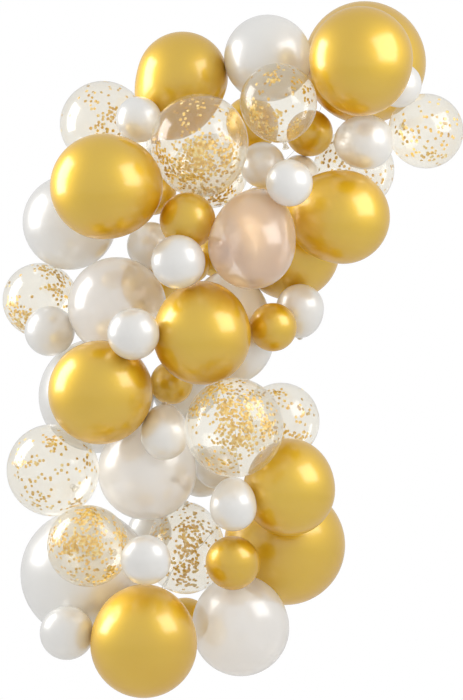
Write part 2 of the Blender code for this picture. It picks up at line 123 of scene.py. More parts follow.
def balloons_of(node):
    """The one or two balloons that a solid stands for, the larger one first."""
    places, near = joined_points(nodes[node].data)
    found = []
    for index, neighbours in near.items():
        spans = {other: (places[other] - places[index]).length for other in neighbours}
        longest = max(spans.values())
        ring = [places[other] for other, span in spans.items() if longest - span < FAN_TOLERANCE]
        if len(ring) >= FAN_LEAST:
            found.append(balloon_from_fan(node, places[index], ring, places))
    found.sort(key=lambda balloon: -balloon.radius)
    glued = [balloon._replace(name=node + "_glued_skin") for balloon in found[1:]]
    return found[:1] + glued


balloons = [found for node in sorted(nodes) if "balloon" in node for found in balloons_of(node)]
widths = [2 * found.radius * MILLIMETRES for found in balloons]
print(len(balloons), "balloons,", f"{min(widths):.0f} to {max(widths):.0f} mm wide")

# %% [markdown]
# An inflated balloon isn't a plain ball. The crown's half is round, the other half draws out like the
# blunt end of an egg, and close to the knot the latex is gathered into fine pleats. Below the knot
# the neck flares into a skirt with a rolled lip. A profile that is turned round the axis gives all of
# this with a few formulas, and the pleats are a small ripple that grows towards the knot. A sculpted or
# inflated cloth would give the same shape with far more work.

# %% The profile of a tied balloon
CROWN_STEPS = 18
DRAWN_STEPS = 24
KNOT_STEPS = 8
LIP_STEPS = 8
NECK_RADIUS = 0.0045
NECK_START = 2.2
GATHER_PLACE = 0.45
GATHER_WIDTH = 1.25
KNOT_BULGE = 0.0022
KNOT_LENGTH = 0.006
SKIRT_SHARES = (0.25, 0.5, 0.75)
SKIRT_CURVE = 1.6
SKIRT_DEPTH = 0.002
SKIRT_END = 0.6
LIP_ROLL = 0.0011
LIP_START = 1.25
LIP_TURN = 1.5


def skin_profile(balloon):
    """Rings from the crown to the lip and back inside the skirt, each as a place on the axis and a radius."""
    rings = []
    for step in range(1, CROWN_STEPS):
        angle = math.pi / 2 * step / CROWN_STEPS
        rings.append((-balloon.radius * math.cos(angle), balloon.radius * math.sin(angle)))
    last_angle = math.asin(NECK_START * NECK_RADIUS / balloon.radius)
    for step in range(DRAWN_STEPS + 1):
        angle = math.pi / 2 + (last_angle - math.pi / 2) * step / DRAWN_STEPS
        rings.append((balloon.reach * math.cos(angle), balloon.radius * math.sin(angle)))
    shoulder = rings[-1][0]
    knot = balloon.reach + KNOT_LENGTH / 2
    rings.append((shoulder + (knot - shoulder) * GATHER_PLACE, NECK_RADIUS * GATHER_WIDTH))
    for step in range(KNOT_STEPS + 1):
        angle = math.pi * step / KNOT_STEPS
        bulge = NECK_RADIUS + KNOT_BULGE * math.sin(angle)
        rings.append((knot - KNOT_LENGTH / 2 * math.cos(angle), bulge))
    end = balloon.reach + balloon.tail
    skirt = knot + KNOT_LENGTH / 2
    rolled = balloon.lip - LIP_ROLL
    for share in SKIRT_SHARES:
        flare = NECK_RADIUS + (rolled - NECK_RADIUS) * share**SKIRT_CURVE
        rings.append((skirt + (end - LIP_ROLL - skirt) * share, flare))
    for step in range(LIP_STEPS + 1):
        angle = math.pi * (LIP_START - LIP_TURN * step / LIP_STEPS)
        rings.append((end - LIP_ROLL * (1 + math.cos(angle)), rolled + LIP_ROLL * math.sin(angle)))
    rings.append((skirt + SKIRT_DEPTH, NECK_RADIUS * SKIRT_END))
    return rings


print(len(skin_profile(balloons[0])), "rings in each skin")

# %% Turn the profile into a skin
TURN_STEPS = 64
PLEATS = 9
PLEAT_DEPTH = 0.05
PLEAT_LENGTH = 0.012
SLACK_SHARE = 0.35


def turned_faces(ring_count, sides):
    """The faces of a closed turned shape: bands between its rings and a fan at each end."""
    faces = []
    last = 1 + (ring_count - 1) * sides
    for side in range(sides):
        after = (side + 1) % sides
        faces.append((0, 1 + after, 1 + side))
        faces.append((last + sides, last + side, last + after))
        for low in range(1, last, sides):
            high = low + sides
            faces.append((low + side, low + after, high + after, high + side))
    return faces


def turned_mesh(balloon):
    """The skin as one closed mesh, with pleats that grow towards the knot."""
    rings = skin_profile(balloon)
    turns = np.linspace(0, 2 * np.pi, TURN_STEPS, endpoint=False)
    along = np.array([ring[0] for ring in rings])
    radii = np.array([ring[1] for ring in rings])
    near_knot = np.exp(-np.abs(along - balloon.reach) / PLEAT_LENGTH) * (along < balloon.reach)
    across = radii[:, None] * (1 + PLEAT_DEPTH * near_knot[:, None] * np.cos(PLEATS * turns))
    up = np.repeat(along[:, None], TURN_STEPS, 1)
    grid = np.stack((across * np.cos(turns), across * np.sin(turns), up), 2)
    points = [(0, 0, -balloon.radius), *grid.reshape(-1, 3), (0, 0, along[-1])]
    turn = balloon.axis.to_track_quat("Z", "Y").to_matrix().to_4x4()
    place = Matrix.Translation(balloon.centre) @ turn
    mesh = bpy.data.meshes.new(balloon.name)
    faces = turned_faces(len(rings), TURN_STEPS)
    mesh.from_pydata([place @ Vector(point) for point in points], [], faces)
    mesh.shade_smooth()
    stretch = np.where(along < 0, 1, np.clip(radii / (SLACK_SHARE * balloon.radius), 0, 1))
    layer = mesh.attributes.new("stretch", "FLOAT", "POINT")
    layer.data.foreach_set("value", np.concatenate(([1], np.repeat(stretch, TURN_STEPS), [0])))
    return mesh


def add_piece(name, mesh, material, slot, *replaced):
    """A piece of the garland: on the one body, with its finish, in place of the solids that it stands for."""
    piece = bpy.data.objects.new(name, mesh)
    piece.data.materials.append(material)
    bpy.context.scene.collection.objects.link(piece)
    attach(piece, "root")
    if replaced:
        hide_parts(*replaced)
    return piece


# %% [markdown]
# Every finish below is one Principled shader. Small differences in the latex, such as thin and thick
# places and the fine grain of its surface, come from noise textures that follow the object's own metres, so
# they keep their size on small and large balloons alike. Where the latex is hardly stretched, near the
# knot, its colour is deeper: the skins carry that as a number at each point. A photo of latex could be
# wrapped round each balloon instead, but it would stretch at the neck and look the same on all of them.

# %% Helpers for the finishes
NOISE_LOW = 0.3
NOISE_HIGH = 0.7
Finish = namedtuple("Finish", "material shader nodes links place")


def new_finish(name):
    """An empty finish: its material, its shader, and a texture coordinate in metres."""
    material = bpy.data.materials.new(name)
    material.use_nodes = True
    tree = material.node_tree
    place = tree.nodes.new("ShaderNodeTexCoord").outputs["Object"]
    return Finish(material, tree.nodes["Principled BSDF"], tree.nodes, tree.links, place)


def noise(finish, scale, detail=2.0):
    """A noise texture's value, from 0 to 1, with features about 1 / scale metres wide."""
    node = finish.nodes.new("ShaderNodeTexNoise")
    node.inputs["Scale"].default_value = scale
    node.inputs["Detail"].default_value = detail
    finish.links.new(finish.place, node.inputs["Vector"])
    return node.outputs["Fac"]


def between(finish, value, low, high):
    """A noise value, which is mostly near the middle of 0 to 1, spread over a range of numbers."""
    node = finish.nodes.new("ShaderNodeMapRange")
    node.inputs["From Min"].default_value = NOISE_LOW
    node.inputs["From Max"].default_value = NOISE_HIGH
    node.inputs["To Min"].default_value = low
    node.inputs["To Max"].default_value = high
    finish.links.new(value, node.inputs["Value"])
    return node.outputs["Result"]


def ramp(finish, value, *stops):
    """The value as a colour, through stops of (place, red, green, blue)."""
    node = finish.nodes.new("ShaderNodeValToRGB")
    points = node.color_ramp.elements
    while len(points) < len(stops):
        points.new(0.5)
    for point, (where, *colour) in zip(points, stops):
        point.position = where
        point.color = (*colour, 1.0)
    finish.links.new(value, node.inputs["Fac"])
    return node.outputs["Color"]


def latex_colour(finish, thickness, thin, thick, slack):
    """The colour of stretched latex, thin to thick, and the deeper one near the knot, on the shader."""
    stretched = ramp(finish, thickness, (NOISE_LOW, *thin), (NOISE_HIGH, *thick))
    stretch = finish.nodes.new("ShaderNodeAttribute")
    stretch.attribute_name = "stretch"
    mix = finish.nodes.new("ShaderNodeMix")
    mix.data_type = "RGBA"
    mix.inputs["A"].default_value = (*slack, 1.0)
    finish.links.new(stretch.outputs["Fac"], mix.inputs["Factor"])
    finish.links.new(stretched, mix.inputs["B"])
    finish.links.new(mix.outputs["Result"], finish.shader.inputs["Base Color"])


def uneven_gloss(finish, scale, low, high):
    """A roughness that wanders a little over the surface."""
    finish.links.new(between(finish, noise(finish, scale), low, high), finish.shader.inputs["Roughness"])


def add_bump(finish, height, distance, strength=0.5):
    """A fine unevenness of the surface, in metres."""
    node = finish.nodes.new("ShaderNodeBump")
    node.inputs["Strength"].default_value = strength
    node.inputs["Distance"].default_value = distance
    finish.links.new(height, node.inputs["Height"])
    finish.links.new(node.outputs["Normal"], finish.shader.inputs["Normal"])


def set_plain(finish, **values):
    """Values that are the same all over, set on the shader's own sockets."""
    for name, value in values.items():
        finish.shader.inputs[name.replace("_", " ")].default_value = value


# %% [markdown]
# Chrome latex is rubber with fine metal flakes in it. It mirrors the room like satin metal, so its colour
# comes from a metallic shader: yellow gold, a little deeper where the latex is thicker. The flakes blur
# their mirror image widely. The smooth rubber over them mirrors the lamps once more, white and much
# sharper, and that is the coat.

# %% Chrome gold latex
def chrome_gold():
    """Satin yellow metal under a smooth coat."""
    finish = new_finish("chrome_gold_latex")
    latex_colour(
        finish,
        noise(finish, scale=5.0),
        thin=(0.86, 0.57, 0.020),
        thick=(0.82, 0.52, 0.010),
        slack=(0.55, 0.29, 0.01),
    )
    uneven_gloss(finish, scale=14.0, low=0.50, high=0.56)
    set_plain(finish, Metallic=0.85, Specular_Tint=(1.0, 0.66, 0.10, 1.0))
    set_plain(finish, Coat_Weight=1.0, Coat_IOR=2.0, Coat_Roughness=0.22)
    add_bump(finish, noise(finish, scale=22.0, detail=1.0), distance=0.0006, strength=0.2)
    return finish.material


CHROME_GOLD = chrome_gold()
print("made", CHROME_GOLD.name)

# %% [markdown]
# Pearl latex is white rubber with a pale mica in it. It is softer than chrome: part of the light goes into
# the white, part comes back as a broad sheen. A low metallic share with a middling roughness gives that
# sheen, and the coat gives the wet glint of the lamps. The thinner a pearl balloon is stretched, the more
# light goes straight through it, so the larger ones have a share of transmission. A skin this thin bends
# no light, so its index of refraction is set to hardly more than one. A solid glass ball's index would
# turn the view behind it upside down, and an alpha under one would make the coat's shine fainter too.

# %% Pearl white latex, full and thin
THIN_SKIN_IOR = 1.01


def pearl_white(name, through, thin, thick):
    """White with a soft sheen, and the share of light that goes straight through it."""
    finish = new_finish(name)
    latex_colour(finish, noise(finish, scale=6.0), thin, thick, slack=(0.78, 0.72, 0.62))
    uneven_gloss(finish, scale=18.0, low=0.34, high=0.40)
    set_plain(finish, Metallic=0.2, Coat_Weight=1.0, Coat_IOR=1.75, Coat_Roughness=0.20)
    set_plain(finish, Sheen_Weight=0.25, Sheen_Roughness=0.35)
    if through:
        set_plain(finish, Transmission_Weight=through, IOR=THIN_SKIN_IOR, Metallic=0.08, Coat_IOR=2.0)
    add_bump(finish, noise(finish, scale=26.0, detail=1.0), distance=0.0004, strength=0.15)
    return finish.material


PEARL_WHITE = pearl_white("pearl_white_latex", 0.0, thin=(0.96, 0.95, 0.92), thick=(0.94, 0.92, 0.88))
PEARL_THIN = pearl_white("pearl_thin_latex", 0.56, thin=(0.98, 0.96, 0.93), thick=(0.97, 0.94, 0.90))
# The sheer pearl's peach tint is partly a painted reflection: it stands in for the glow of the gold balloons
# mirrored in it and seen through it.
PEARL_SHEER_PAINTED_GOLD_GLOW = pearl_white("pearl_sheer_latex", 0.70, thin=(0.96, 0.83, 0.72), thick=(0.93, 0.78, 0.67))
print("made", PEARL_WHITE.name, PEARL_THIN.name, PEARL_SHEER_PAINTED_GOLD_GLOW.name)

# %% [markdown]
# Clear latex has hardly any colour of its own, only a faint cream veil, so nearly all the light goes
# straight through. The coat gives the shine and the pale rim. Its index is a little over rubber's own,
# because a thin skin shines twice, once on each of its faces.

# %% Clear latex
def clear_latex():
    """A faint veil under a glossy coat."""
    finish = new_finish("clear_latex")
    latex_colour(
        finish,
        noise(finish, scale=7.0),
        thin=(0.91, 0.88, 0.80),
        thick=(0.88, 0.85, 0.76),
        slack=(0.80, 0.74, 0.63),
    )
    uneven_gloss(finish, scale=20.0, low=0.0, high=0.01)
    set_plain(finish, Transmission_Weight=0.93, IOR=THIN_SKIN_IOR)
    set_plain(finish, Coat_Weight=1.0, Coat_IOR=1.9, Coat_Roughness=0.16)
    add_bump(finish, noise(finish, scale=20.0, detail=1.0), distance=0.0003, strength=0.15)
    return finish.material


CLEAR_LATEX = clear_latex()
print("made", CLEAR_LATEX.name)

# %% [markdown]
# The strip and the glue dots are clear plastic, a little hazy. Behind the balloons hardly any of it is
# seen, so a plain alpha is enough to let the wall show through.

# %% Clear plastic
def clear_plastic():
    """Hazy and colourless, with a fine grain."""
    finish = new_finish("clear_strip_plastic")
    thin = (NOISE_LOW, 0.82, 0.85, 0.87)
    thick = (NOISE_HIGH, 0.90, 0.92, 0.93)
    colour = ramp(finish, noise(finish, scale=30.0), thin, thick)
    finish.links.new(colour, finish.shader.inputs["Base Color"])
    uneven_gloss(finish, scale=90.0, low=0.18, high=0.32)
    set_plain(finish, Alpha=0.45, Coat_Weight=0.6, Coat_Roughness=0.1)
    add_bump(finish, noise(finish, scale=250.0, detail=1.0), distance=0.0001)
    return finish.material


CLEAR_PLASTIC = clear_plastic()
print("made", CLEAR_PLASTIC.name)

# %% [markdown]
# The confetti is punched from thin paper with a gold print. It is duller than the chrome latex, and no
# two dots catch the light alike. A noise about as coarse as a dot gives each its own tone.

# %% Gold confetti paper
def gold_paper():
    """Three tones of printed gold."""
    finish = new_finish("gold_confetti_paper")
    deep = (NOISE_LOW, 0.80, 0.47, 0.05)
    usual = (0.5, 0.92, 0.60, 0.10)
    pale = (NOISE_HIGH, 1.0, 0.82, 0.36)
    tone = ramp(finish, noise(finish, scale=110.0, detail=0.0), deep, usual, pale)
    finish.links.new(tone, finish.shader.inputs["Base Color"])
    uneven_gloss(finish, scale=200.0, low=0.35, high=0.5)
    set_plain(finish, Metallic=0.1, Coat_Weight=0.3, Coat_Roughness=0.2)
    add_bump(finish, noise(finish, scale=500.0, detail=1.0), distance=0.00005)
    return finish.material


GOLD_PAPER = gold_paper()
print("made", GOLD_PAPER.name)

# %% [markdown]
# Now each balloon gets its skin. The solid's name says which finish it has. Three large pearl balloons
# are thin enough to see through, and one in the middle was blown up the most and is sheer; its peach tint
# is a painted reflection of the gold round and behind it. The clear ones
# cast no shadow, so the lamps reach the paper inside them and what is behind them.

# %% Make the skins
THINNER_PEARLS = {
    "pearl_balloon_left_skin": PEARL_THIN,
    "pearl_balloon_waist_skin": PEARL_THIN,
    "pearl_balloon_bottom_right_skin": PEARL_THIN,
    "pearl_balloon_middle_skin": PEARL_SHEER_PAINTED_GOLD_GLOW,
}


def finish_for(balloon):
    """The material and the slot name for a balloon."""
    if balloon.name.startswith("gold"):
        return CHROME_GOLD, "gold"
    if balloon.name.startswith("confetti"):
        return CLEAR_LATEX, "clear"
    return THINNER_PEARLS.get(balloon.name, PEARL_WHITE), "pearl"


for balloon in balloons:
    material, slot = finish_for(balloon)
    skin = add_piece(balloon.name, turned_mesh(balloon), material, slot, balloon.node)
    skin.visible_shadow = material is not CLEAR_LATEX
print("skins made for", len(balloons), "balloons")

# %% [markdown]
# Round paper confetti is poured into a clear balloon before it is blown up. Rubbing the balloon charges
# it, and the dots then cling to the inside of the skin in clumps, with strays between them. The clumps
# here are listed as one sees them from the front: how far across and up each one is, as a share
# of the balloon's radius, how far it spreads and how many dots it has. Chance, with a fixed seed, puts each
# dot near its clump, on the near or the far skin.

# %% Where the confetti clings
CLUMPS = {
    "confetti_balloon_shoulder": (
        (-0.14, 0.74, 0.25, 26),
        (-0.29, 0.42, 0.12, 10),
        (0.54, 0.64, 0.12, 16),
        (0.00, -0.16, 0.22, 150),
        (0.10, -0.40, 0.24, 70),
        (-0.14, -0.66, 0.28, 130),
        (0.59, -0.20, 0.20, 60),
        (-0.80, -0.18, 0.14, 36),
        (-0.60, -0.50, 0.20, 56),
    ),
    "confetti_balloon_centre": (
        (-0.33, 0.80, 0.25, 90),
        (-0.75, 0.42, 0.20, 50),
        (-0.15, 0.40, 0.16, 60),
        (0.40, 0.42, 0.26, 110),
        (0.25, 0.15, 0.14, 40),
        (-0.08, 0.00, 0.24, 100),
        (0.20, -0.25, 0.20, 70),
        (0.70, 0.00, 0.18, 60),
        (-0.29, -0.74, 0.25, 60),
    ),
    "confetti_balloon_top": (
        (-0.15, 0.68, 0.20, 40),
        (-0.58, -0.32, 0.18, 50),
        (0.62, 0.30, 0.20, 24),
        (0.00, -0.32, 0.12, 14),
        (0.44, -0.65, 0.12, 16),
        (-0.30, -0.75, 0.20, 36),
    ),
    "confetti_balloon_top_right": (
        (-0.40, 0.00, 0.35, 34),
        (0.20, -0.60, 0.30, 34),
        (0.50, 0.10, 0.20, 14),
    ),
    "confetti_balloon_left": (
        (-0.58, -0.66, 0.17, 54),
        (-0.74, -0.20, 0.18, 34),
        (-0.40, -0.38, 0.12, 26),
        (0.14, 0.85, 0.15, 22),
        (0.57, 0.66, 0.24, 30),
        (0.50, 0.22, 0.24, 34),
    ),
    "confetti_balloon_waist_left": (
        (0.00, 0.00, 0.50, 40),
        (-0.05, 0.62, 0.14, 24),
        (-0.74, 0.12, 0.14, 18),
        (0.77, 0.20, 0.16, 16),
        (-0.29, -0.68, 0.22, 30),
        (0.52, -0.68, 0.14, 24),
    ),
    "confetti_balloon_lower_left": (
        (-0.03, 0.74, 0.28, 130),
        (-0.80, 0.20, 0.22, 44),
        (0.00, 0.00, 0.28, 130),
        (-0.50, 0.00, 0.20, 80),
        (0.80, 0.20, 0.18, 56),
        (0.57, -0.60, 0.15, 44),
        (-0.10, -0.72, 0.28, 40),
    ),
    "confetti_balloon_lower_middle": (
        (-0.62, 0.56, 0.20, 44),
        (0.09, 0.75, 0.25, 40),
        (0.10, 0.45, 0.28, 60),
        (0.10, 0.10, 0.24, 56),
        (-0.05, -0.30, 0.20, 30),
        (0.00, -0.65, 0.25, 44),
    ),
    "confetti_balloon_centre_right": (
        (-0.10, 0.70, 0.24, 36),
        (0.63, 0.23, 0.20, 14),
        (0.06, -0.29, 0.15, 20),
        (0.50, -0.46, 0.20, 28),
    ),
    "confetti_balloon_shoulder_left": (
        (0.20, 0.25, 0.18, 36),
        (0.05, -0.25, 0.15, 22),
        (-0.10, 0.60, 0.20, 12),
    ),
    "confetti_balloon_shoulder_back": (
        (0.20, -0.60, 0.35, 120),
        (-0.30, 0.30, 0.40, 60),
    ),
    "confetti_balloon_right_back": (
        (0.30, -0.40, 0.40, 80),
        (-0.30, 0.20, 0.40, 60),
    ),
}
STRAYS = 34
NEAR_SHARE = 0.62
dot_count = sum(clump[3] for clumps in CLUMPS.values() for clump in clumps) + STRAYS * len(CLUMPS)
print(dot_count, "confetti dots")

# %% Scatter the confetti
DOT_RADIUS = 0.0040
DOT_THICKNESS = 0.0002
DOT_SIZES = (0.85, 1.1)
DOT_SIDES = 12
DOT_LIFT = 0.0007
DOT_TILT = 0.10
CLUMP_SPREADS = (0.5, 1.3)


def dot_directions(clumps, chance):
    """Directions from the balloon's centre to its dots: those of the clumps, then the strays."""
    ways = []
    for across, up, spread, count in clumps:
        depth = -math.sqrt(max(0.0, 1 - across * across - up * up))
        side = np.where(chance.random(count) < NEAR_SHARE, 1, -1)
        middle = np.stack((np.full(count, across), depth * side, np.full(count, up)), 1)
        scatter = chance.normal(size=(count, 3)) * spread * chance.uniform(*CLUMP_SPREADS, (count, 1))
        ways.append(middle + scatter)
    ways.append(chance.normal(size=(STRAYS, 3)))
    ways = np.concatenate(ways)
    return ways / np.linalg.norm(ways, axis=1)[:, None]


def skin_distance(balloon, direction):
    """How far the skin is from the centre in a direction: a ball at the crown, drawn out to the neck."""
    along = direction.dot(balloon.axis)
    if along <= 0:
        return balloon.radius
    across = math.sqrt(max(0.0, 1 - along * along))
    return 1 / math.sqrt((along / balloon.reach) ** 2 + (across / balloon.radius) ** 2)


def confetti_mesh(balloon, chance):
    """All of a balloon's dots as one mesh of thin round cards."""
    points = []
    faces = []
    for way in dot_directions(CLUMPS[balloon.node], chance):
        outward = Vector(way)
        place = balloon.centre + outward * (skin_distance(balloon, outward) - DOT_LIFT)
        turn = (outward + Vector(chance.normal(size=3)) * DOT_TILT).to_track_quat("Z", "Y")
        radius = DOT_RADIUS * chance.uniform(*DOT_SIZES)
        first = len(points)
        for height in (-DOT_THICKNESS / 2, DOT_THICKNESS / 2):
            for side in range(DOT_SIDES):
                angle = 2 * math.pi * side / DOT_SIDES
                across, up = radius * math.cos(angle), radius * math.sin(angle)
                points.append(place + turn @ Vector((across, up, height)))
        low = [first + side for side in range(DOT_SIDES)]
        high = [first + DOT_SIDES + side for side in range(DOT_SIDES)]
        faces += [tuple(reversed(low)), tuple(high)]
        for side in range(DOT_SIDES):
            after = (side + 1) % DOT_SIDES
            faces.append((low[side], low[after], high[after], high[side]))
    mesh = bpy.data.meshes.new(balloon.node + "_confetti")
    mesh.from_pydata(points, [], faces)
    return mesh


for seed, balloon in enumerate(found for found in balloons if found.node in CLUMPS):
    mesh = confetti_mesh(balloon, np.random.default_rng(seed))
    add_piece(mesh.name, mesh, GOLD_PAPER, "gold")
print("confetti in", len(CLUMPS), "balloons")

# %% [markdown]
# The strip is clear plastic tape with a row of holes that the balloons' necks are pulled through. It
# stands edge-on to the wall behind the balloons and twists flat at each end. Its plain solid has the
# right run without the holes. So the tape is built along the middles of the solid's sections: one square
# of tape with a round hole, repeated along the run. A hole could be cut with a Boolean each time, but a
# hundred cuts are slow and leave ragged edges, and here the hole is part of the pattern.

# %% Read the strip's run back from its solid
WALL_ZONE = 0.0015
STATION_GAP = 0.02
TAPE_WIDTH = 0.020
TAPE_THICKNESS = 0.0012
TAB_WIDTH = 0.026
SAMPLE = 0.003
ROUNDING = 4
TWISTS = (math.pi / 2, math.pi / 4, 0)

strip_points, near = joined_points(nodes["hanging_strip"].data)
tab_points = [point for point in strip_points if point.y > -WALL_ZONE]
run_points = sorted((point for point in strip_points if point.y <= -WALL_ZONE), key=lambda point: -point.z)
stations = [[run_points[0]]]
for point in run_points[1:]:
    if stations[-1][-1].z - point.z > STATION_GAP:
        stations.append([])
    stations[-1].append(point)
middles = [sum(corners, Vector()) / len(corners) for corners in stations]
top_tab = [point for point in tab_points if point.z > middles[0].z]
bottom_tab = [point for point in tab_points if point.z < middles[-1].z]
print(len(middles), "sections of the strip between its tabs")


def tab_box(points):
    """The lowest and highest corner of a tab."""
    low = Vector(min(point[axis] for point in points) for axis in range(3))
    high = Vector(max(point[axis] for point in points) for axis in range(3))
    return low, high


# %% Follow the run smoothly
def softened(rows):
    """The rows, each as the mean of its neighbours, with both ends left as they are."""
    soft = rows.copy()
    for index in range(1, len(rows) - 1):
        reach = min(ROUNDING, index, len(rows) - 1 - index)
        soft[index] = rows[index - reach : index + reach + 1].mean(0)
    return soft


def run_frames():
    """The tape's middles, its directions across and through, and its widths, with soft corners."""
    (top_low, top_high), (bottom_low, bottom_high) = tab_box(top_tab), tab_box(bottom_tab)
    start = Vector(((top_low.x + top_high.x) / 2, (top_low.y + top_high.y) / 2, top_low.z))
    end = Vector(((bottom_low.x + bottom_high.x) / 2, (bottom_low.y + bottom_high.y) / 2, bottom_high.z))
    places = [start, *middles, end]
    out = Vector((0, -1, 0))
    sections = []
    for index, place in enumerate(places):
        heading = places[min(index + 1, len(places) - 1)] - places[max(index - 1, 0)]
        from_end = min(index, len(places) - 1 - index)
        if from_end == 0:
            heading = Vector((0, 0, -1))
        heading = Vector((heading.x, 0, heading.z)).normalized()
        side = Vector((heading.z, 0, -heading.x))
        twist = TWISTS[min(from_end, len(TWISTS) - 1)]
        across = out * math.cos(twist) + side * math.sin(twist)
        through = side * math.cos(twist) - out * math.sin(twist)
        sections.append(np.array((*place, *across, *through, TAPE_WIDTH if from_end else TAB_WIDTH)))
    rows = []
    for here, there in zip(sections, sections[1:]):
        steps = max(1, round(np.linalg.norm(there[:3] - here[:3]) / SAMPLE))
        rows += [here + (there - here) * (step / steps) for step in range(steps)]
    return softened(np.array([*rows, sections[-1]]))


run = run_frames()
run_steps = np.linalg.norm(np.diff(run[:, :3], axis=0), axis=1)
run_lengths = np.concatenate(([0], np.cumsum(run_steps)))
print(f"{run_lengths[-1]:.2f} m of tape")


def on_tape(along, across, lift):
    """The point at a distance along the tape, a share of its width across and a lift off its middle plane."""
    values = [np.interp(along, run_lengths, column) for column in run.T]
    place, way, through = (Vector(values[first : first + 3]) for first in (0, 3, 6))
    return place + way.normalized() * (across * values[-1]) + through.normalized() * lift


# %% Punch the tape and its tabs
CELL_LENGTH = 0.018
NECK_HOLE_RADIUS = 0.0045
HOOK_HOLE_RADIUS = 0.005
HOOK_HOLE_FROM_END = 0.011
TAB_CORNER = 0.006
TAB_STEPS = 5
BORDER_STEPS = 4
TAPE_WELD = 0.00002


def square_outline(steps):
    """Points round a square from -0.5 to 0.5, with the same number of steps on each side."""
    ticks = [step / steps - 0.5 for step in range(steps)]
    sides = [(tick, -0.5) for tick in ticks] + [(0.5, tick) for tick in ticks]
    return sides + [(-tick, 0.5) for tick in ticks] + [(-0.5, -tick) for tick in ticks]


def round_hole(outline, radius):
    """Points round a hole at the middle, one in the direction of each point of the outline."""
    return [(x / math.hypot(x, z) * radius, z / math.hypot(x, z) * radius) for x, z in outline]


def punched_plate(builder, outline, hole, walled, place):
    """A plate between an outline and a hole, with walls in the hole and along the walled edges."""
    count = len(outline)
    layers = []
    for lift in (-TAPE_THICKNESS / 2, TAPE_THICKNESS / 2):
        outer = [builder.verts.new(place(*point, lift)) for point in outline]
        inner = [builder.verts.new(place(*point, lift)) for point in hole]
        layers.append((outer, inner))
    (low_outer, low_inner), (high_outer, high_inner) = layers
    for side in range(count):
        after = (side + 1) % count
        builder.faces.new((low_outer[side], low_inner[side], low_inner[after], low_outer[after]))
        builder.faces.new((high_outer[side], high_outer[after], high_inner[after], high_inner[side]))
        builder.faces.new((low_inner[side], high_inner[side], high_inner[after], low_inner[after]))
        if walled(outline[side], outline[after]):
            builder.faces.new((low_outer[side], low_outer[after], high_outer[after], high_outer[side]))


def add_tape_cells(builder):
    """The perforated run between the tabs."""
    cells = round(run_lengths[-1] / CELL_LENGTH)
    length = run_lengths[-1] / cells
    outline = square_outline(BORDER_STEPS)
    hole = round_hole(outline, NECK_HOLE_RADIUS)
    for cell in range(cells):
        middle = (cell + 0.5) * length
        width = np.interp(middle, run_lengths, run[:, -1])
        punched_plate(
            builder,
            [(x, z * length) for x, z in outline],
            [(x / width, z) for x, z in hole],
            lambda one, other: abs(one[0]) == 0.5 and one[0] == other[0],
            lambda across, along, lift: on_tape(middle + along, across, lift),
        )
    return cells


def tab_outline(bottom, top):
    """Points round a tab, from its root at -bottom up to its tip at top, with round corners there."""
    half = TAB_WIDTH / 2
    outline = [(TAB_WIDTH * (step / BORDER_STEPS - 0.5), -bottom) for step in range(BORDER_STEPS + 1)]
    for step in range(1, TAB_STEPS + 1):
        outline.append((half, -bottom + (bottom + top - TAB_CORNER) * (step / TAB_STEPS)))
    for step in range(1, TAB_STEPS + 1):
        angle = math.pi / 2 * step / TAB_STEPS
        corner = (half - TAB_CORNER * (1 - math.cos(angle)), top - TAB_CORNER * (1 - math.sin(angle)))
        outline.append(corner)
    right = outline[BORDER_STEPS + 1 :]
    outline.append((0, top))
    return outline + [(-x, z) for x, z in reversed(right)]


def add_tab(builder, points, end):
    """A flat tab with a hook hole, the top one for an end of 1 and the bottom one for an end of -1."""
    low, high = tab_box(points)
    tip = high.z if end > 0 else low.z
    root = low.z if end > 0 else high.z
    middle = Vector(((low.x + high.x) / 2, (low.y + high.y) / 2, tip - end * HOOK_HOLE_FROM_END))
    bottom = abs(root - middle.z)
    outline = tab_outline(bottom, HOOK_HOLE_FROM_END)
    punched_plate(
        builder,
        outline,
        round_hole(outline, HOOK_HOLE_RADIUS),
        lambda one, other: not (one[1] == -bottom and other[1] == -bottom),
        lambda across, up, lift: middle + Vector((across, lift * end, up * end)),
    )


def tape_mesh():
    """The whole strip as one welded mesh."""
    builder = bmesh.new()
    cells = add_tape_cells(builder)
    add_tab(builder, top_tab, 1)
    add_tab(builder, bottom_tab, -1)
    bmesh.ops.remove_doubles(builder, verts=builder.verts, dist=TAPE_WELD)
    bmesh.ops.recalc_face_normals(builder, faces=builder.faces)
    open_edges = sum(len(edge.link_faces) != 2 for edge in builder.edges)
    print(cells, "punched cells,", open_edges, "edges without two faces")
    mesh = bpy.data.meshes.new("perforated_strip")
    builder.to_mesh(mesh)
    builder.free()
    return mesh


add_piece("perforated_strip", tape_mesh(), CLEAR_PLASTIC, "strip", "hanging_strip")

# %% [markdown]
# Three minis hang on a neighbour by a glue dot, a small round pad of clear sticky gel. Pressed between two
# curved skins it spreads, so it is thin at its middle and fat at its rim. It is turned like the skins.

# %% Make the glue dots
GLUE_RADIUS = 0.006
GLUE_RIM = 0.0011
GLUE_SWELL = 0.0003
GLUE_RIM_DEGREES = (60, 30, 0)
GLUE_STEPS = 28


def glue_rings(half_gap):
    """Rings from one face of a pad round its rim to the other, each as a place on the axis and a radius."""
    rim = half_gap + GLUE_SWELL
    upper = [(half_gap + GLUE_SWELL / 3, GLUE_RADIUS / 2), (rim, GLUE_RADIUS - GLUE_RIM)]
    for degrees in GLUE_RIM_DEGREES:
        angle = math.radians(degrees)
        upper.append((rim * math.sin(angle), GLUE_RADIUS - GLUE_RIM * (1 - math.cos(angle))))
    return [(-height, radius) for height, radius in upper] + upper[-2::-1]


